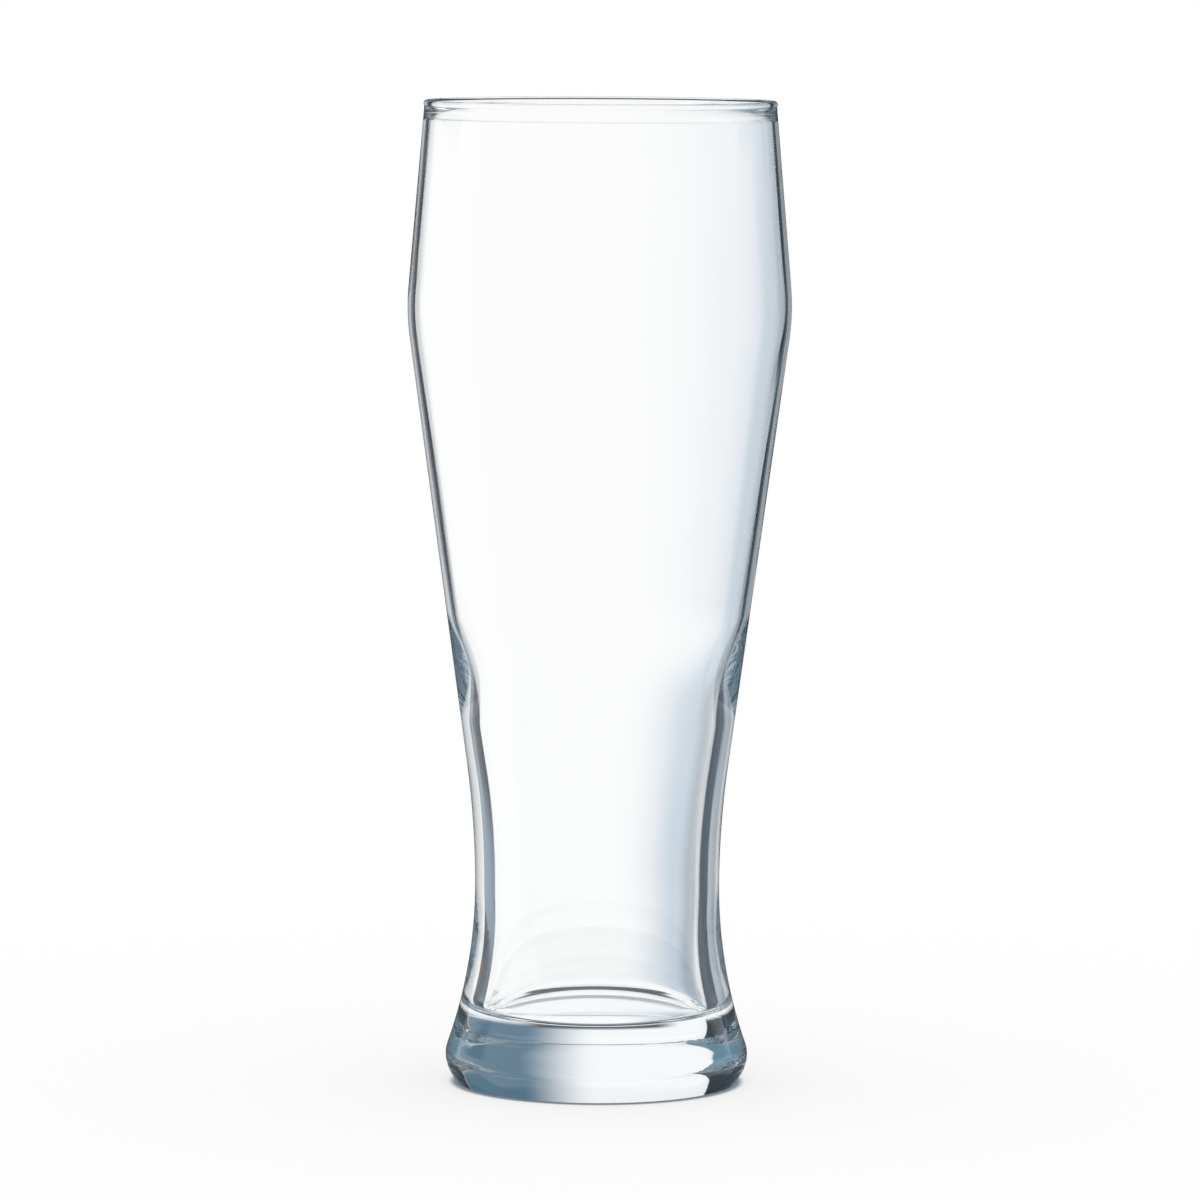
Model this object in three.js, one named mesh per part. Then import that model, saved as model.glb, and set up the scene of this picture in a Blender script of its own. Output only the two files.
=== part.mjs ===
// A tall beer glass of the wheat-beer kind, in clear glass: a thin blown bowl that narrows to a hollow
// waist with a thick wall, on a heavy solid foot.
// Millimetres, +Z up, with the origin on the table, on the axis.
import * as THREE from "three";

// Heights, stacked from the table up.
const footEdgeHeight = 6.2; // widest line of the foot, above the table
const floorHeight = 15.4; // floor of the hollow, above the table
const waistHeight = 44.4; // narrowest line of the outside, above the table
const taperRise = 128.5; // from the waist up to the shoulder
const rimRise = 47.1; // from the shoulder up to the lip

// Outside. The shoulder is given where its two cones would meet, before their corner is rounded.
const waistRadius = 27.4;
const footFlare = 6.5; // from the waist out to the widest line of the foot
const shoulderFlare = 15.7; // from the waist out to the shoulder
const rimLeanIn = 3.75; // from the shoulder in to the bead at the rim
const shoulderRound = 52;
const waistCurve = 200; // radius of the long hollow between the waist and the taper
const footEdgeRound = 7; // radius above the widest line of the foot
const heelInset = 2.6; // from the widest line of the foot in to the ring it stands on
const standingRingWidth = 1.6;
const pushUpHeight = 3.1; // rise of the underside inside that ring

// Wall thickness, measured level, and the bead and floor that end the wall.
const rimWall = 1.25;
const bowlWall = 1.8;
const lowerWall = 4;
const waistWall = 4.4;
const floorWall = 6; // where the wall meets the floor
const thickWallRise = 37.6; // from the waist up to where the wall starts to thin
const thinningLength = 24; // height over which it thins to the bowl's wall
const beadProud = 0.17; // how far the rim's bead stands out of the wall, outside and in
const floorRound = 2; // corner between the wall and the floor

// Facets: around the axis, and along each stretch of the outline that bends.
const facetsAround = 64;
const facetsAlong = {
  underside: 6,
  heel: 8,
  edge: 3,
  footFlare: 4,
  floorCorner: 6,
  waistFlare: 6,
  hollow: 5,
  thinning: 8,
  shoulder: 6,
  lean: 4,
  bead: 10,
};

const footRadius = waistRadius + footFlare;
const shoulder = new THREE.Vector2(waistRadius + shoulderFlare, waistHeight + taperRise);
const thickTop = waistHeight + thickWallRise;

// The rim is a round bead on the end of the wall, which meets it at the neck, just below its middle.
const beadRadius = rimWall / 2 + beadProud;
const lipHeight = shoulder.y + rimRise;
const beadCentre = new THREE.Vector2(shoulder.x - rimLeanIn - beadRadius, lipHeight - beadRadius);
const beadWrap = Math.acos(rimWall / 2 / beadRadius);
const neck = new THREE.Vector2(
  beadCentre.x + rimWall / 2,
  beadCentre.y - beadRadius * Math.sin(beadWrap),
);

// The long taper runs from the shoulder to the point where it touches the hollow above the waist.
const hollowCentre = new THREE.Vector2(waistRadius + waistCurve, waistHeight);
const taperFoot = tangentPoint(shoulder, hollowCentre, waistCurve);

// The shoulder's round touches the taper below it and the cone that leans in to the rim above it.
const taperAngle = Math.atan2(shoulder.x - taperFoot.x, shoulder.y - taperFoot.y);
const leanAngle = Math.atan2(shoulder.x - neck.x, neck.y - shoulder.y);
const shoulderReach = shoulderRound / Math.cos((taperAngle + leanAngle) / 2);
const shoulderFacing = (leanAngle - taperAngle) / 2;
const shoulderCentre = new THREE.Vector2(
  shoulder.x - shoulderReach * Math.cos(shoulderFacing),
  shoulder.y - shoulderReach * Math.sin(shoulderFacing),
);
const shoulderLow = shoulderCentre.y - shoulderRound * Math.sin(taperAngle);
const shoulderHigh = shoulderCentre.y + shoulderRound * Math.sin(leanAngle);

// Below the waist one arc flares out and runs smoothly into the round on the edge of the foot.
const edgeCentre = new THREE.Vector2(footRadius - footEdgeRound, footEdgeHeight);
const flareRise = waistHeight - footEdgeHeight;
const flareCurve =
  ((footEdgeRound - footFlare) ** 2 + flareRise ** 2 - footEdgeRound ** 2) / (2 * footFlare);
const flareAngle = Math.atan2(flareRise, waistRadius + flareCurve - edgeCentre.x);
const flareFoot = edgeCentre.y + footEdgeRound * Math.sin(flareAngle);

// The bowl and the foot meet on a flat ring, level with the top of the round that leads down to the floor.
const seatHeight = floorHeight + floorRound;
const floorBore = outsideAt(seatHeight) - floorWall;

// Where the line from a point touches a circle, on the side of the circle that faces the axis.
function tangentPoint(from, centre, radius) {
  const reach = centre.clone().sub(from);
  const length = Math.sqrt(reach.lengthSq() - radius ** 2);
  const turn = Math.atan2(radius, length);
  return reach.setLength(length).rotateAround(new THREE.Vector2(), -turn).add(from);
}

// How far an arc of this radius has left its tangent after this length along the tangent.
function arcOffset(radius, length) {
  return radius - Math.sqrt(radius ** 2 - length ** 2);
}

// Outside radius at a height, anywhere from the edge of the foot to the neck of the rim.
function outsideAt(height) {
  if (height < waistHeight) return waistRadius + arcOffset(flareCurve, waistHeight - height);
  if (height < taperFoot.y) return waistRadius + arcOffset(waistCurve, height - waistHeight);
  if (height < shoulderLow) {
    return THREE.MathUtils.mapLinear(height, taperFoot.y, shoulder.y, taperFoot.x, shoulder.x);
  }
  if (height < shoulderHigh) {
    return shoulderCentre.x + shoulderRound - arcOffset(shoulderRound, height - shoulderCentre.y);
  }
  return THREE.MathUtils.mapLinear(height, shoulder.y, neck.y, shoulder.x, neck.x);
}

// Wall thickness at a height. It eases from each station of the wall to the next one up.
function wallAt(height) {
  const stations = [
    [seatHeight, floorWall],
    [waistHeight, waistWall],
    [thickTop, lowerWall],
    [thickTop + thinningLength, bowlWall],
    [shoulder.y, bowlWall],
    [neck.y, rimWall],
  ];
  const above = Math.max(1, stations.findIndex(([station]) => station >= height));
  const [lowHeight, lowWall] = stations[above - 1];
  const [highHeight, highWall] = stations[above];
  const share = THREE.MathUtils.smoothstep(height, lowHeight, highHeight);
  return THREE.MathUtils.lerp(lowWall, highWall, share);
}

// Evenly spaced values from one value to another, both included.
function spaced(from, to, steps) {
  return Array.from({ length: steps + 1 }, (_, i) => THREE.MathUtils.lerp(from, to, i / steps));
}

// Points along part of a circle.
function arc(centre, radius, startAngle, endAngle, steps) {
  const clockwise = endAngle < startAngle;
  const curve = new THREE.EllipseCurve(centre.x, centre.y, radius, radius, startAngle, endAngle, clockwise);
  return curve.getPoints(steps);
}

// Up the outside from the seat, over the bead and down the inside, in close steps where the wall bends.
function bowlOutline() {
  const levels = [
    ...spaced(seatHeight, waistHeight, facetsAlong.waistFlare),
    ...spaced(waistHeight, taperFoot.y, facetsAlong.hollow).slice(1),
    ...spaced(thickTop, thickTop + thinningLength, facetsAlong.thinning),
    ...spaced(shoulderLow, shoulderHigh, facetsAlong.shoulder),
    ...spaced(shoulderHigh, neck.y, facetsAlong.lean).slice(1),
  ].sort((low, high) => low - high);
  const outside = levels.map((height) => new THREE.Vector2(outsideAt(height), height));
  const bead = arc(beadCentre, beadRadius, -beadWrap, Math.PI + beadWrap, facetsAlong.bead);
  const inside = levels.map((height) => new THREE.Vector2(outsideAt(height) - wallAt(height), height));
  return [...outside, ...bead.slice(1, -1), ...inside.reverse(), outside[0].clone()];
}

// From the middle of the underside out and up to the seat, then down to the floor and in to the axis.
function footOutline() {
  const ringOutside = footRadius - heelInset;
  const ringInside = ringOutside - standingRingWidth;
  const underside = spaced(0, 1, facetsAlong.underside).map(
    (share) => new THREE.Vector2(ringInside * share, pushUpHeight * (1 - share ** 2)),
  );
  const heelCurve = new THREE.QuadraticBezierCurve(
    new THREE.Vector2(ringOutside, 0),
    new THREE.Vector2(footRadius, footEdgeHeight / 2),
    new THREE.Vector2(footRadius, footEdgeHeight),
  );
  const heel = heelCurve.getPoints(facetsAlong.heel);
  const edge = arc(edgeCentre, footEdgeRound, 0, flareAngle, facetsAlong.edge).slice(1);
  const flareLevels = spaced(flareFoot, seatHeight, facetsAlong.footFlare).slice(1);
  const flare = flareLevels.map((height) => new THREE.Vector2(outsideAt(height), height));
  const roundCentre = new THREE.Vector2(floorBore - floorRound, seatHeight);
  const floorCorner = arc(roundCentre, floorRound, 0, -Math.PI / 2, facetsAlong.floorCorner);
  return [...underside, ...heel, ...edge, ...flare, ...floorCorner, new THREE.Vector2(0, floorHeight)];
}

// A lathe turns its outline about Y, so the solid is tipped up to stand on Z.
function turned(name, outline, material) {
  const geometry = new THREE.LatheGeometry(outline, facetsAround).rotateX(Math.PI / 2);
  const mesh = new THREE.Mesh(geometry, material);
  mesh.name = name;
  return mesh;
}

const clearGlass = { roughness: 0.02, metalness: 0, transparent: true, opacity: 0.35 };
const bowlGlass = new THREE.MeshStandardMaterial({ ...clearGlass, color: 0xeaf1f6 });
const footGlass = new THREE.MeshStandardMaterial({ ...clearGlass, color: 0xa9c4d2 });

const glass = new THREE.Group();
glass.add(turned("bowl", bowlOutline(), bowlGlass));
glass.add(turned("foot", footOutline(), footGlass));

export default glass;
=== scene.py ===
import math

import bpy
from mathutils import Matrix, Vector


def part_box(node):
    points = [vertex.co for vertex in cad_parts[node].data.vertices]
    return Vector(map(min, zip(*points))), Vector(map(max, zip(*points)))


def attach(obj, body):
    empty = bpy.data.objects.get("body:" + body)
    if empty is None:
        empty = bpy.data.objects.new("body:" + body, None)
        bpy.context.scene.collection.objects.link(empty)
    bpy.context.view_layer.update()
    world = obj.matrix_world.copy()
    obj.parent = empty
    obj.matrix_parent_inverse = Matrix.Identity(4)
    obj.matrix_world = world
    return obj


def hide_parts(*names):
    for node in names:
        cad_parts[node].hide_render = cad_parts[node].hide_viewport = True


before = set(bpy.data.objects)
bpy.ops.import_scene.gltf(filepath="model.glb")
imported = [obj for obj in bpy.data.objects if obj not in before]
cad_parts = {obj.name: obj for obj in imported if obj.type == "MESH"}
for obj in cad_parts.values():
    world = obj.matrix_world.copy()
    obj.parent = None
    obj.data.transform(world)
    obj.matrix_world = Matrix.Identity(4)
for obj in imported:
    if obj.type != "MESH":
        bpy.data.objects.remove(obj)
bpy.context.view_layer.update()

# Foot of the glass: a heavy puck of solid clear glass that flares out under the waist.
# It is pressed hot in the same mould as the wall above, so the two are one mass with no seam.
# Its underside is pushed up a little, so that only a narrow ring touches the table.
millimetre = 0.001
foot_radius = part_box("foot")[1].x
foot_edge_height = 6.2 * millimetre
foot_edge_round = 7 * millimetre
heel_inset = 2.6 * millimetre
ring_edge = 0.06 * millimetre
standing_ring_width = 0.5 * millimetre
push_up_height = 3.1 * millimetre
waist_height = 44.4 * millimetre
waist_radius = 27.4 * millimetre
underside_facets = 16
ring_facets = 4
heel_facets = 18
edge_facets = 12

foot_flare = foot_radius - waist_radius
flare_rise = waist_height - foot_edge_height
flare_curve = ((foot_edge_round - foot_flare) ** 2 + flare_rise**2 - foot_edge_round**2) / (2 * foot_flare)
edge_centre = Vector((foot_radius - foot_edge_round, foot_edge_height))
flare_angle = math.atan2(flare_rise, waist_radius + flare_curve - edge_centre.x)
flare_foot = edge_centre.y + foot_edge_round * math.sin(flare_angle)


def spaced(start, end, steps):
    """Evenly spaced values from start to end, both included."""
    return [start + (end - start) * step / steps for step in range(steps + 1)]


def arc(centre, radius, start, end, steps):
    """Points along part of a circle."""
    return [
        Vector((centre.x + radius * math.cos(angle), centre.y + radius * math.sin(angle)))
        for angle in spaced(start, end, steps)
    ]


def sagitta(radius, length):
    """How far an arc of this radius has left its tangent after this length along the tangent."""
    return radius - math.sqrt(radius**2 - length**2)


ring_outside = foot_radius - heel_inset
ring_inside = ring_outside - standing_ring_width
underside = [
    Vector((ring_inside * share, push_up_height * (1 - share**2)))
    for share in spaced(0, 1, underside_facets)
]
standing_ring = [
    Vector((radius, 0))
    for radius in spaced(ring_inside, ring_outside - ring_edge, ring_facets)
]
heel = [
    Vector((foot_radius - heel_inset * (1 - share) ** 2, foot_edge_height * share))
    for share in spaced(ring_edge / foot_edge_height, 1, heel_facets)
]
foot_edge = arc(edge_centre, foot_edge_round, 0, flare_angle, edge_facets)
foot_outline = underside + standing_ring[1:] + [Vector((ring_outside, 0))] + heel + foot_edge[1:]

# Bowl of the glass: one wall of blown clear glass, thick round the hollow waist and thin from the taper up.
# It runs from the flare of the foot over the waist, up a straight taper and a soft shoulder, and leans in
# to a rim whose cut edge is melted into a small round bead.
bowl_low, bowl_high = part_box("bowl")
seat_height = bowl_low.z
lip_height = bowl_high.z
shoulder = Vector((43.097, 172.9)) * millimetre
shoulder_round = 52 * millimetre
waist_curve = 200 * millimetre
rim_radius = 39.35 * millimetre
rim_wall = 1.25 * millimetre
bead_proud = 0.17 * millimetre
bowl_wall = 1.8 * millimetre
lower_wall = 4 * millimetre
waist_wall = 4.4 * millimetre
floor_wall = 6 * millimetre
thick_wall_top = 82 * millimetre
thin_wall_start = 106 * millimetre
floor_round = 2 * millimetre
flare_facets = 14
waist_facets = 56
thinning_facets = 32
taper_facets = 8
shoulder_facets = 12
lean_facets = 12
bead_facets = 28
corner_facets = 16
floor_facets = 8

bead_radius = rim_wall / 2 + bead_proud
bead_centre = Vector((rim_radius - bead_radius, lip_height - bead_radius))
bead_wrap = math.acos(rim_wall / 2 / bead_radius)
neck = bead_centre + Vector((rim_wall / 2, -bead_radius * math.sin(bead_wrap)))

hollow_centre = Vector((waist_radius + waist_curve, waist_height))
reach = hollow_centre - shoulder
tangent_length = math.sqrt(reach.length_squared - waist_curve**2)
tangent_turn = Matrix.Rotation(-math.atan2(waist_curve, tangent_length), 2)
taper_foot = shoulder + tangent_turn @ (reach.normalized() * tangent_length)

taper_angle = math.atan2(shoulder.x - taper_foot.x, shoulder.y - taper_foot.y)
lean_angle = math.atan2(shoulder.x - neck.x, neck.y - shoulder.y)
shoulder_reach = shoulder_round / math.cos((taper_angle + lean_angle) / 2)
shoulder_facing = (lean_angle - taper_angle) / 2
shoulder_centre = shoulder - shoulder_reach * Vector((math.cos(shoulder_facing), math.sin(shoulder_facing)))
shoulder_low = shoulder_centre.y - shoulder_round * math.sin(taper_angle)
shoulder_high = shoulder_centre.y + shoulder_round * math.sin(lean_angle)


def between(height, low, high):
    """Radius at this height on the straight line between two points of the outline."""
    return low.x + (high.x - low.x) * (height - low.y) / (high.y - low.y)


def outside_at(height):
    """Outside radius of the glass, from the edge of the foot to the neck of the rim."""
    if height < waist_height:
        return waist_radius + sagitta(flare_curve, waist_height - height)
    if height < taper_foot.y:
        return waist_radius + sagitta(waist_curve, height - waist_height)
    if height < shoulder_low:
        return between(height, taper_foot, shoulder)
    if height < shoulder_high:
        return shoulder_centre.x + shoulder_round - sagitta(shoulder_round, height - shoulder_centre.y)
    return between(height, shoulder, neck)


wall_stations = [
    (seat_height, floor_wall),
    (waist_height, waist_wall),
    (thick_wall_top, lower_wall),
    (thin_wall_start, bowl_wall),
    (shoulder.y, bowl_wall),
    (neck.y, rim_wall),
]


def inside_at(height):
    """Inside radius: the wall eases from the thickness of each station to that of the next one up."""
    for (low, low_wall), (high, high_wall) in zip(wall_stations, wall_stations[1:]):
        if height <= high:
            break
    share = min(max((height - low) / (high - low), 0), 1)
    ease = share * share * (3 - 2 * share)
    return outside_at(height) - (low_wall + (high_wall - low_wall) * ease)


wall_levels = (
    spaced(seat_height, thick_wall_top, waist_facets)[1:]
    + spaced(thick_wall_top, thin_wall_start, thinning_facets)[1:]
    + spaced(thin_wall_start, shoulder_low, taper_facets)[1:]
    + spaced(shoulder_low, shoulder_high, shoulder_facets)[1:]
    + spaced(shoulder_high, neck.y, lean_facets)[1:]
)
flare_levels = spaced(flare_foot, seat_height, flare_facets)[1:]
flare_outside = [Vector((outside_at(height), height)) for height in flare_levels]
wall_outside = [Vector((outside_at(height), height)) for height in wall_levels]
bead = arc(bead_centre, bead_radius, -bead_wrap, math.pi + bead_wrap, bead_facets)[1:-1]
wall_inside = [Vector((inside_at(height), height)) for height in reversed(wall_levels)]
floor_bore = inside_at(seat_height)
floor_corner_centre = Vector((floor_bore - floor_round, seat_height))
floor_corner = arc(floor_corner_centre, floor_round, 0, -math.pi / 2, corner_facets)
floor_height = seat_height - floor_round
floor_reaches = spaced(floor_bore - floor_round, 0, floor_facets)[1:]
cavity_floor = [Vector((radius, floor_height)) for radius in floor_reaches]
outline = foot_outline + flare_outside + wall_outside + bead + wall_inside + floor_corner + cavity_floor

# Material of the whole glass: clear soda-lime glass with a flame-polished skin, almost colourless, with the
# faint sea-blue that shows through long paths. The hot work leaves slow waves in the surface, and fine
# slanting chill lines low down on the outside, beside the mould's two seams.
line_depth = 0.035
line_slant = (0.12, -0.16, 0)
line_spacing = (24, 24, 560)
line_detail = 2.0
wave_depth = 0.045
wave_spacing = 42.0
clear_glass = bpy.data.materials.new("clear_glass")
clear_glass.use_nodes = True
glass_nodes = clear_glass.node_tree.nodes
glass_links = clear_glass.node_tree.links
glass_shader = glass_nodes["Principled BSDF"]
glass_shader.inputs["Base Color"].default_value = (1, 1, 1, 1)
glass_shader.inputs["Transmission Weight"].default_value = 1
glass_shader.inputs["IOR"].default_value = 1.52
glass_shader.inputs["Roughness"].default_value = 0
glass_tint = glass_nodes.new("ShaderNodeVolumeAbsorption")
glass_tint.inputs["Color"].default_value = (0.1, 0.6, 0.75, 1)
glass_tint.inputs["Density"].default_value = 1
glass_links.new(glass_tint.outputs["Volume"], glass_nodes["Material Output"].inputs["Volume"])


def node(tree, kind, settings=None, **inputs):
    """Adds a node, sets its options, and fills its inputs by place, with values or other nodes' outputs."""
    made = tree.nodes.new(kind)
    for name, value in (settings or {}).items():
        setattr(made, name, value)
    for place, value in inputs.items():
        socket = made.inputs[int(place.removeprefix("in"))]
        if isinstance(value, bpy.types.NodeSocket):
            tree.links.new(value, socket)
        else:
            socket.default_value = value
    return made


def maths(tree, operation, first, second=0.0):
    """A node that works on one or two numbers."""
    return node(tree, "ShaderNodeMath", {"operation": operation}, in0=first, in1=second).outputs[0]


def vectors(tree, operation, first, second=(0, 0, 0)):
    """A node that works on one or two vectors."""
    return node(tree, "ShaderNodeVectorMath", {"operation": operation}, in0=first, in1=second).outputs


def rising(tree, value, start, end):
    """0 below start, 1 above end, and a soft step between them."""
    soft_step = {"interpolation_type": "SMOOTHSTEP"}
    step = node(tree, "ShaderNodeMapRange", soft_step, in0=value, in1=start, in2=end, in3=0.0, in4=1.0)
    return step.outputs[0]


def falling(tree, value, start, end):
    """1 below start, 0 above end, and a soft step between them."""
    return maths(tree, "SUBTRACT", 1.0, rising(tree, value, start, end))


def within(tree, value, start, end, soft):
    """1 between start and end, with soft edges outside them."""
    above = rising(tree, value, start - soft, start)
    below = falling(tree, value, end, end + soft)
    return maths(tree, "MULTIPLY", above, below)


gloss = clear_glass.node_tree
glass_place = node(gloss, "ShaderNodeTexCoord").outputs["Object"]
glass_axes = node(gloss, "ShaderNodeSeparateXYZ", in0=glass_place).outputs
slant = {"rotation_type": "EULER_XYZ"}
slanted = node(gloss, "ShaderNodeVectorRotate", slant, in0=glass_place, in4=line_slant).outputs[0]
stretched = vectors(gloss, "MULTIPLY", slanted, line_spacing)[0]
chill_lines = node(gloss, "ShaderNodeTexNoise", in0=stretched, in2=1.0, in3=line_detail).outputs[0]
from_axis = vectors(gloss, "LENGTH", vectors(gloss, "MULTIPLY", glass_place, (1, 1, 0))[0])["Value"]
outside = rising(gloss, from_axis, 25.8 * millimetre, 26.8 * millimetre)
low_down = falling(gloss, glass_axes["Z"], 30 * millimetre, 62 * millimetre)
from_front = maths(gloss, "ABSOLUTE", glass_axes["X"])
by_the_seams = rising(gloss, from_front, 16 * millimetre, 24 * millimetre)
lined = maths(gloss, "MULTIPLY", maths(gloss, "MULTIPLY", outside, low_down), by_the_seams)
lines = maths(gloss, "MULTIPLY", maths(gloss, "MULTIPLY", chill_lines, lined), line_depth)
slow_waves = node(gloss, "ShaderNodeTexNoise", in0=glass_place, in2=wave_spacing, in3=0.0).outputs[0]
even = within(gloss, glass_axes["Z"], 78 * millimetre, 112 * millimetre, 12 * millimetre)
wavy = maths(gloss, "MULTIPLY", maths(gloss, "SUBTRACT", 1.0, even), wave_depth)
waves = maths(gloss, "MULTIPLY", slow_waves, wavy)
bump = node(gloss, "ShaderNodeBump")
bump.inputs["Strength"].default_value = 1
bump.inputs["Distance"].default_value = millimetre
glass_links.new(maths(gloss, "ADD", lines, waves), bump.inputs["Height"])
glass_links.new(bump.outputs["Normal"], glass_shader.inputs["Normal"])

# Turned glass: the bowl and the foot are one surface of revolution, made by Geometry Nodes from the outline.
# The tree lays a grid along the outline and round the axis, then closes its seam and both ends on the axis.
sides = 256
seam = 0.001 * millimetre
outline_mesh = bpy.data.meshes.new("beer_glass")
outline_edges = [(index, index + 1) for index in range(len(outline) - 1)]
outline_mesh.from_pydata([(point.x, 0, point.y) for point in outline], outline_edges, [])
glass = bpy.data.objects.new("beer_glass", outline_mesh)
bpy.context.scene.collection.objects.link(glass)

turning = bpy.data.node_groups.new("turned_glass", "GeometryNodeTree")
turning.interface.new_socket("Outline", in_out="INPUT", socket_type="NodeSocketGeometry")
sides_input = turning.interface.new_socket("Sides", in_out="INPUT", socket_type="NodeSocketInt")
points_input = turning.interface.new_socket("Points along", in_out="INPUT", socket_type="NodeSocketInt")
seam_input = turning.interface.new_socket("Seam", in_out="INPUT", socket_type="NodeSocketFloat")
material_input = turning.interface.new_socket("Glass", in_out="INPUT", socket_type="NodeSocketMaterial")
turning.interface.new_socket("Turned", in_out="OUTPUT", socket_type="NodeSocketGeometry")

sizes = node(turning, "NodeGroupInput").outputs
columns = maths(turning, "ADD", sizes["Sides"], 1)
grid = node(turning, "GeometryNodeMeshGrid", in2=columns, in3=sizes["Points along"]).outputs["Mesh"]
index = node(turning, "GeometryNodeInputIndex").outputs[0]
along = maths(turning, "MODULO", index, sizes["Points along"])
column = maths(turning, "FLOOR", maths(turning, "DIVIDE", index, sizes["Points along"]))
turn = maths(turning, "DIVIDE", column, sizes["Sides"])
angle = maths(turning, "MULTIPLY", turn, 2 * math.pi)
place = node(turning, "GeometryNodeInputPosition").outputs[0]
by_point = {"data_type": "FLOAT_VECTOR", "domain": "POINT"}
sample = node(turning, "GeometryNodeSampleIndex", by_point, in0=sizes["Outline"], in1=place, in2=along)
outline_place = sample.outputs[0]
about_axis = {"rotation_type": "Z_AXIS"}
turned_place = node(turning, "ShaderNodeVectorRotate", about_axis, in0=outline_place, in3=angle).outputs[0]
placed = node(turning, "GeometryNodeSetPosition", in0=grid, in2=turned_place).outputs[0]
closed = node(turning, "GeometryNodeMergeByDistance", in0=placed, in2=sizes["Seam"]).outputs[0]
smooth = node(turning, "GeometryNodeSetShadeSmooth", in0=closed, in2=True).outputs[0]
realized = node(turning, "GeometryNodeRealizeInstances", in0=smooth).outputs[0]
finished = node(turning, "GeometryNodeSetMaterial", in0=realized, in2=sizes["Glass"]).outputs[0]
node(turning, "NodeGroupOutput", in0=finished)

turner = glass.modifiers.new("turned_glass", "NODES")
turner.node_group = turning
turner[sides_input.identifier] = sides
turner[points_input.identifier] = len(outline)
turner[seam_input.identifier] = seam
turner[material_input.identifier] = clear_glass
evaluated = glass.evaluated_get(bpy.context.evaluated_depsgraph_get())
glass.data = bpy.data.meshes.new_from_object(evaluated)
glass.modifiers.remove(turner)
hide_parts("bowl", "foot")
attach(glass, "root")

# Floor: a plain white table top, just under the standing ring. The camera sees it white, with the glass's
# soft cast shadow and a thin line of painted shade under the overhanging heel. The glass looks through it to
# the surround.
floor_radius = 0.6
floor_gap = 0.2 * millimetre
floor_sides = 64
glow_near = 0.6
white = (1, 1, 1, 1)
# Grey of the painted shade line that stands for the contact shadow under the heel.
painted_heel_shade = (0.25, 0.28, 0.31, 1)
floor_ring = [
    (floor_radius * math.cos(angle), floor_radius * math.sin(angle), -floor_gap)
    for angle in spaced(0, 2 * math.pi, floor_sides)[:-1]
]
floor_mesh = bpy.data.meshes.new("floor")
floor_mesh.from_pydata(floor_ring, [], [range(len(floor_ring))])
floor = bpy.data.objects.new("floor", floor_mesh)
bpy.context.scene.collection.objects.link(floor)


def laid_over(tree, under, over, *shares):
    """The colour over, laid on the colour under where every share is 1."""
    share = shares[0]
    for other in shares[1:]:
        share = maths(tree, "MULTIPLY", share, other)
    return node(tree, "ShaderNodeMix", {"data_type": "RGBA"}, in0=share, in6=under, in7=over).outputs[2]


table_white = bpy.data.materials.new("table_white")
table_white.use_nodes = True
table = table_white.node_tree
table.nodes.clear()
table_ray = node(table, "ShaderNodeLightPath").outputs
table_place = node(table, "ShaderNodeTexCoord").outputs["Object"]
table_reach = vectors(table, "LENGTH", table_place)["Value"]
# Painted shade: the table's own colour is darkened in a thin ring under the overhanging heel.
under_heel_painted_shade = falling(table, table_reach, 31.6 * millimetre, 33.6 * millimetre)
table_colour = laid_over(table, white, painted_heel_shade, under_heel_painted_shade)
paper = node(table, "ShaderNodeBsdfDiffuse", in0=table_colour).outputs[0]
glow = node(table, "ShaderNodeEmission", in0=table_colour, in1=1).outputs[0]
clear = node(table, "ShaderNodeBsdfTransparent").outputs[0]
near_glass = falling(table, table_reach, 50 * millimetre, 400 * millimetre)
glowing = maths(table, "SUBTRACT", 1.0, maths(table, "MULTIPLY", near_glass, 1 - glow_near))
seen_white = maths(table, "MULTIPLY", glowing, table_ray["Is Camera Ray"])
surface = node(table, "ShaderNodeMixShader", in0=seen_white, in1=paper, in2=glow).outputs[0]
through_glass = maths(table, "MAXIMUM", table_ray["Is Glossy Ray"], table_ray["Is Transmission Ray"])
both = node(table, "ShaderNodeMixShader", in0=through_glass, in1=surface, in2=clear).outputs[0]
node(table, "ShaderNodeOutputMaterial", in0=both)
floor_mesh.materials.append(table_white)

# Left card: a grey studio card with darker bands that stands upright beside the glass, out of the picture.
# It glows in its own colours and lights nothing. It slants away to the back, and only light that bounces
# inside the glass wall shows it, as painted reflections: the soft grey band and the dark line down the left
# side.
card_low = -0.15
card_high = 0.45
left_near = (-0.049, -0.005)
left_far = (-0.0865, 0.140)
pewter = (0.24, 0.31, 0.37, 1)
lead = (0.03, 0.038, 0.05, 1)
storm = (0.19, 0.27, 0.335, 1)
ash = (0.22, 0.23, 0.25, 1)
black = (0.018, 0.026, 0.033, 1)


def standing_card(name, near, far):
    """An upright card between two points of the table: the nodes of its paint, and its depth and height."""
    corners = [(*near, card_low), (*far, card_low), (*far, card_high), (*near, card_high)]
    mesh = bpy.data.meshes.new(name)
    mesh.from_pydata(corners, [], [(0, 1, 2, 3)])
    card = bpy.data.objects.new(name, mesh)
    bpy.context.scene.collection.objects.link(card)
    card.visible_camera = False
    card.visible_diffuse = False
    card.visible_shadow = False
    paint = bpy.data.materials.new(name)
    paint.use_nodes = True
    paint.cycles.emission_sampling = "NONE"
    paint.node_tree.nodes.clear()
    mesh.materials.append(paint)
    spot = node(paint.node_tree, "ShaderNodeTexCoord").outputs["Object"]
    axes = node(paint.node_tree, "ShaderNodeSeparateXYZ", in0=spot).outputs
    return paint.node_tree, axes["Y"], axes["Z"]


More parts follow.
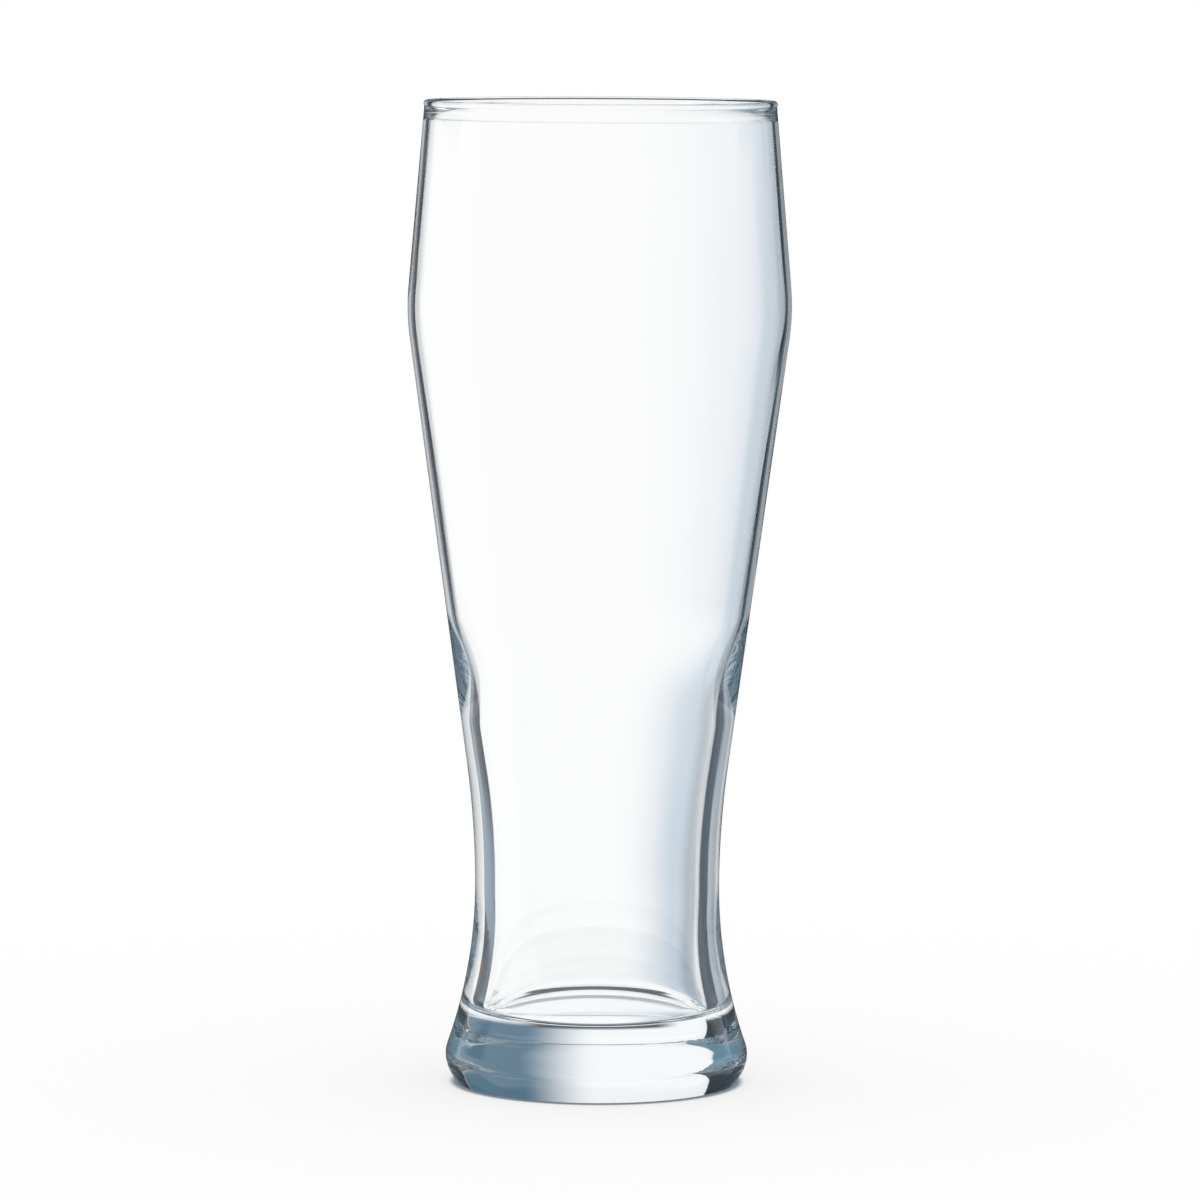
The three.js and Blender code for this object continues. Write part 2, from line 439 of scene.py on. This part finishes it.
def show_card(tree, colour, cover):
    """Shows the card's glowing paint, a painted reflection, where it covers, to light that bounced inside
    one wall, and lets the rest through.
    """
    path = node(tree, "ShaderNodeLightPath").outputs
    bounced = maths(tree, "MINIMUM", path["Glossy Depth"], 1.0)
    one_wall = within(tree, path["Transmission Depth"], 0.6, 2.4, 0.1)
    seen = maths(tree, "MULTIPLY", maths(tree, "MULTIPLY", bounced, one_wall), cover)
    unseen = node(tree, "ShaderNodeBsdfTransparent").outputs[0]
    glowing_card_paint = node(tree, "ShaderNodeEmission", in0=colour, in1=1.0).outputs[0]
    shown = node(tree, "ShaderNodeMixShader", in0=seen, in1=unseen, in2=glowing_card_paint).outputs[0]
    node(tree, "ShaderNodeOutputMaterial", in0=shown)


left, left_back, left_height = standing_card("left_card", left_near, left_far)
by_left_foot = falling(left, left_height, 0.016, 0.022)
by_left_flare = falling(left, left_height, 0.040, 0.060)
by_left_taper = rising(left, left_height, 0.085, 0.110)
by_left_shoulder = within(left, left_height, 0.168, 0.178, 0.008)
by_left_rim = rising(left, left_height, 0.198, 0.206)
left_cover = within(left, left_back, 0.013, 0.080, 0.001)
left_waist_band = falling(left, left_back, 0.035, 0.047)
left_taper_band = within(left, left_back, 0.019, 0.050, 0.005)
left_shoulder_band = within(left, left_back, 0.013, 0.050, 0.004)
left_rim_band = rising(left, left_back, 0.030, 0.040)
past_left_edge = rising(left, left_back, 0.010, 0.018)
# Painted reflection: the card's bands, seen only inside the glass wall, set the tones of the left wall.
left_low = laid_over(left, pewter, lead, left_waist_band)
left_low = laid_over(left, left_low, storm, by_left_flare)
left_low = laid_over(left, left_low, black, by_left_foot)
left_high = laid_over(left, ash, lead, left_taper_band)
left_high = laid_over(left, white, left_high, past_left_edge)
left_high = laid_over(left, left_high, lead, by_left_rim, left_rim_band)
left_high = laid_over(left, left_high, lead, by_left_shoulder, left_shoulder_band)
left_colour = laid_over(left, left_low, left_high, by_left_taper)
show_card(left, left_colour, maths(left, "MAXIMUM", left_cover, by_left_taper))

# Right card: a near-black studio card on the other side, a little nearer the camera, at much the same slant.
# It stands and glows as the left one does, and paints the right wall's dark band into the glass as a
# reflection.
right_near = (0.0425, -0.009)
right_far = (0.0966, 0.140)
haze = (0.50, 0.59, 0.67, 1)
ink = (0.04, 0.058, 0.08, 1)
right, right_back, right_height = standing_card("right_card", right_near, right_far)
right_lean = 0.3
by_right_waist = rising(right, right_height, 0.040, 0.055)
by_right_taper = rising(right, right_height, 0.080, 0.100)
by_right_shoulder = rising(right, right_height, 0.150, 0.165)
right_cover = within(right, right_back, 0.004, 0.053, 0.001)
right_waist_band = falling(right, right_back, 0.049, 0.053)
right_waist_fade = rising(right, right_back, 0.060, 0.130)
past_right_edge = rising(right, right_back, 0.002, 0.004)
right_taper_edge = rising(right, right_back, 0.006, 0.009)
right_taper_band = within(right, right_back, 0.010, 0.060, 0.003)
right_slant = maths(right, "SUBTRACT", right_back, maths(right, "MULTIPLY", right_height, right_lean))
right_shoulder_band = rising(right, right_slant, -0.0585, -0.0555)
# Painted reflection: the card's bands, seen only inside the glass wall, give the right wall its dark band.
right_low = laid_over(right, pewter, haze, right_waist_fade)
right_low = laid_over(right, right_low, ink, right_waist_band)
right_low = laid_over(right, white, right_low, past_right_edge)
right_high = laid_over(right, haze, storm, right_taper_edge)
right_high = laid_over(right, right_high, black, right_taper_band)
right_top = laid_over(right, haze, black, right_shoulder_band)
right_colour = laid_over(right, right_low, right_high, by_right_taper)
right_colour = laid_over(right, right_colour, right_top, by_right_shoulder)
show_card(right, right_colour, maths(right, "MAXIMUM", right_cover, by_right_waist))

# Surround: a white studio tent lit evenly from all sides, as for photographing clear glass on white. Only
# the glass
# shows more: painted reflections in tones of a slate-blue sheet behind on the right, dark boards beyond it
# and dark cloth low down, chosen by how often the light bounced and crossed inside the glass. Bearings are
# in degrees from straight back, to the right, and rises in degrees from level.
slate = (0.09, 0.18, 0.255, 1)
mist = (0.52, 0.62, 0.71, 1)
teal = (0.12, 0.25, 0.33, 1)
dusk = (0.05, 0.065, 0.08, 1)
tent = bpy.data.worlds.new("studio_tent")
tent.use_nodes = True
bpy.context.scene.world = tent
sky = tent.node_tree
sky.nodes.clear()
ray = node(sky, "ShaderNodeLightPath").outputs
bounces = ray["Glossy Depth"]
crossings = ray["Transmission Depth"]
heading = node(sky, "ShaderNodeTexCoord").outputs["Generated"]
ways = node(sky, "ShaderNodeSeparateXYZ", in0=heading).outputs
bearing = maths(sky, "DEGREES", maths(sky, "ARCTAN2", ways["X"], ways["Y"]))
rise = maths(sky, "DEGREES", maths(sky, "ARCSINE", ways["Z"]))
sideways = maths(sky, "ABSOLUTE", bearing)
bounced = maths(sky, "MINIMUM", bounces, 1.0)
bounced_once = within(sky, bounces, 0.9, 1.1, 0.1)
bounced_twice = rising(sky, bounces, 1.5, 2.5)
bounced_often = rising(sky, bounces, 3.5, 4.5)
straight = maths(sky, "SUBTRACT", 1.0, bounced)
two_walls = rising(sky, crossings, 2.4, 2.6)
one_wall = maths(sky, "SUBTRACT", 1.0, two_walls)
not_crossed = falling(sky, crossings, 0.4, 0.6)
mirrored = maths(sky, "MULTIPLY", bounced, not_crossed)
turned_through = maths(sky, "SUBTRACT", bounced, mirrored)

# Painted reflections through both walls of the bowl: almost all white, with a painted blue for the sheet
# down the right side, a painted grey where the shoulder turns away, and a painted dark line round the back
# of the floor.
painted_blue_lean = 0.15
turning_grey = 0.6
painted_blue_edge = maths(sky, "ADD", bearing, maths(sky, "MULTIPLY", rise, painted_blue_lean))
painted_blue_far = falling(sky, bearing, 22.0, 32.0)
painted_blue_height = within(sky, rise, -40.0, 30.0, 6.0)
painted_blue_pale = rising(sky, painted_blue_edge, -0.5, 8.5)
painted_blue_deep = rising(sky, painted_blue_edge, 8.0, 16.0)
surround = laid_over(sky, white, mist, two_walls, straight, painted_blue_pale, painted_blue_far, painted_blue_height)
surround = laid_over(sky, surround, pewter, two_walls, straight, painted_blue_deep, painted_blue_far, painted_blue_height)
floor_line = within(sky, rise, -64.0, -30.0, 6.0)
sent_back = rising(sky, sideways, 95.0, 110.0)
surround = laid_over(sky, surround, dusk, two_walls, bounced, sent_back, floor_line)
overhead = rising(sky, rise, 34.0, 40.0)
to_the_left = falling(sky, bearing, -24.0, 2.0)
surround = laid_over(sky, surround, mist, two_walls, bounced, overhead, to_the_left)
turning_away = within(sky, sideways, 16.0, 30.0, 1.5)
above_taper = rising(sky, rise, -7.5, -6.5)
surround = laid_over(sky, surround, pewter, two_walls, straight, turning_away, above_taper, turning_grey)

# Painted reflections through the foot or the rim: slate for the sheet, dark for the boards at its two sides,
# and dark for the cloth behind the rim.
level = rising(sky, rise, -13.0, -7.0)
wall_bounce = maths(sky, "MULTIPLY", bounced, falling(sky, rise, 1.0, 4.0))
no_wall_bounce = maths(sky, "SUBTRACT", 1.0, wall_bounce)
slate_start = rising(sky, bearing, -1.0, 21.0)
slate_end = falling(sky, bearing, 51.0, 53.0)
surround = laid_over(sky, surround, slate, one_wall, slate_start, slate_end, level, no_wall_bounce)
left_painted_dark = within(sky, bearing, -74.0, -38.0, 1.0)
right_painted_dark = within(sky, bearing, 53.0, 76.0, 1.5)
surround = laid_over(sky, surround, black, one_wall, straight, left_painted_dark, level)
surround = laid_over(sky, surround, black, one_wall, straight, right_painted_dark, level)
upward_bounce = maths(sky, "MULTIPLY", turned_through, rising(sky, rise, 1.0, 4.0))
left_teal = within(sky, bearing, -74.0, -37.0, 2.0)
right_teal = within(sky, bearing, 53.0, 76.0, 2.0)
surround = laid_over(sky, surround, teal, one_wall, upward_bounce, left_teal)
surround = laid_over(sky, surround, teal, one_wall, upward_bounce, right_teal)
rim_painted_dark = within(sky, bearing, -16.0, 14.0, 10.0)
rim_painted_dark_height = within(sky, rise, -24.0, -9.0, 3.0)
surround = laid_over(sky, surround, dusk, one_wall, straight, rim_painted_dark, rim_painted_dark_height)

# Painted reflections after bounces inside the wall: grey-blue to the right, deeper tones after several
# bounces, dark from below, and grey from the camera's side of the tent, each set by how often the light
# bounced.
wall_grey = 0.75
twice_teal = 0.4
often_ink = 0.8
camera_grey = 0.85
grey_side = within(sky, bearing, 14.0, 60.0, 8.0)
surround = laid_over(sky, surround, pewter, one_wall, wall_bounce, grey_side, wall_grey)
surround = laid_over(sky, surround, teal, bounced_twice, twice_teal)
upward = rising(sky, rise, 8.0, 12.0)
surround = laid_over(sky, surround, ink, bounced_often, upward, often_ink)
from_below = falling(sky, rise, -52.0, -40.0)
surround = laid_over(sky, surround, dusk, bounced_once, from_below)
camera_side = rising(sky, sideways, 82.0, 104.0)
surround = laid_over(sky, surround, pewter, one_wall, turned_through, camera_side, camera_grey)

# Painted reflections mirrored in the outside of the glass: dark for the boards, along its edges and in the
# slopes of the foot.
edge_dark = 0.93
slope_dark = 0.85
edge_on = falling(sky, sideways, 40.0, 48.0)
surround = laid_over(sky, surround, lead, mirrored, edge_on, edge_dark)
flare_sides = falling(sky, sideways, 76.0, 84.0)
flare_slope = rising(sky, rise, 7.0, 11.0)
surround = laid_over(sky, surround, lead, mirrored, flare_sides, flare_slope, slope_dark)
heel_sides = falling(sky, sideways, 70.0, 80.0)
heel_slope = falling(sky, rise, -25.0, -20.0)
surround = laid_over(sky, surround, lead, mirrored, heel_sides, heel_slope, slope_dark)
in_glass = maths(sky, "MINIMUM", maths(sky, "ADD", bounces, crossings), 1.0)
shown = laid_over(sky, white, surround, in_glass)
light = node(sky, "ShaderNodeBackground", in0=shown, in1=1.0).outputs[0]
node(sky, "ShaderNodeOutputWorld", in0=light)

# Camera: a long lens a step and a half away, a little above the rim, looking slightly down, almost level.
# Light runs a long way inside the thick wall and the foot before it leaves, so its paths may be long.
camera_distance = 1.530
camera_height = 0.256
camera_aside = 0.35 * millimetre
camera_pitch = math.radians(5.506)
camera_roll = math.radians(0.267)
long_path = 96
camera = bpy.data.objects.new("camera", bpy.data.cameras.new("camera"))
bpy.context.scene.collection.objects.link(camera)
bpy.context.scene.camera = camera
camera.data.sensor_width = 36
camera.data.lens = 206.2
camera.matrix_world = (
    Matrix.Translation((camera_aside, -camera_distance, camera_height))
    @ Matrix.Rotation(math.pi / 2 - camera_pitch, 4, "X")
    @ Matrix.Rotation(camera_roll, 4, "Z")
)

scene = bpy.context.scene
scene.view_settings.view_transform = "Standard"
scene.cycles.max_bounces = long_path
scene.cycles.transmission_bounces = long_path
scene.cycles.glossy_bounces = long_path
scene.cycles.transparent_max_bounces = 16
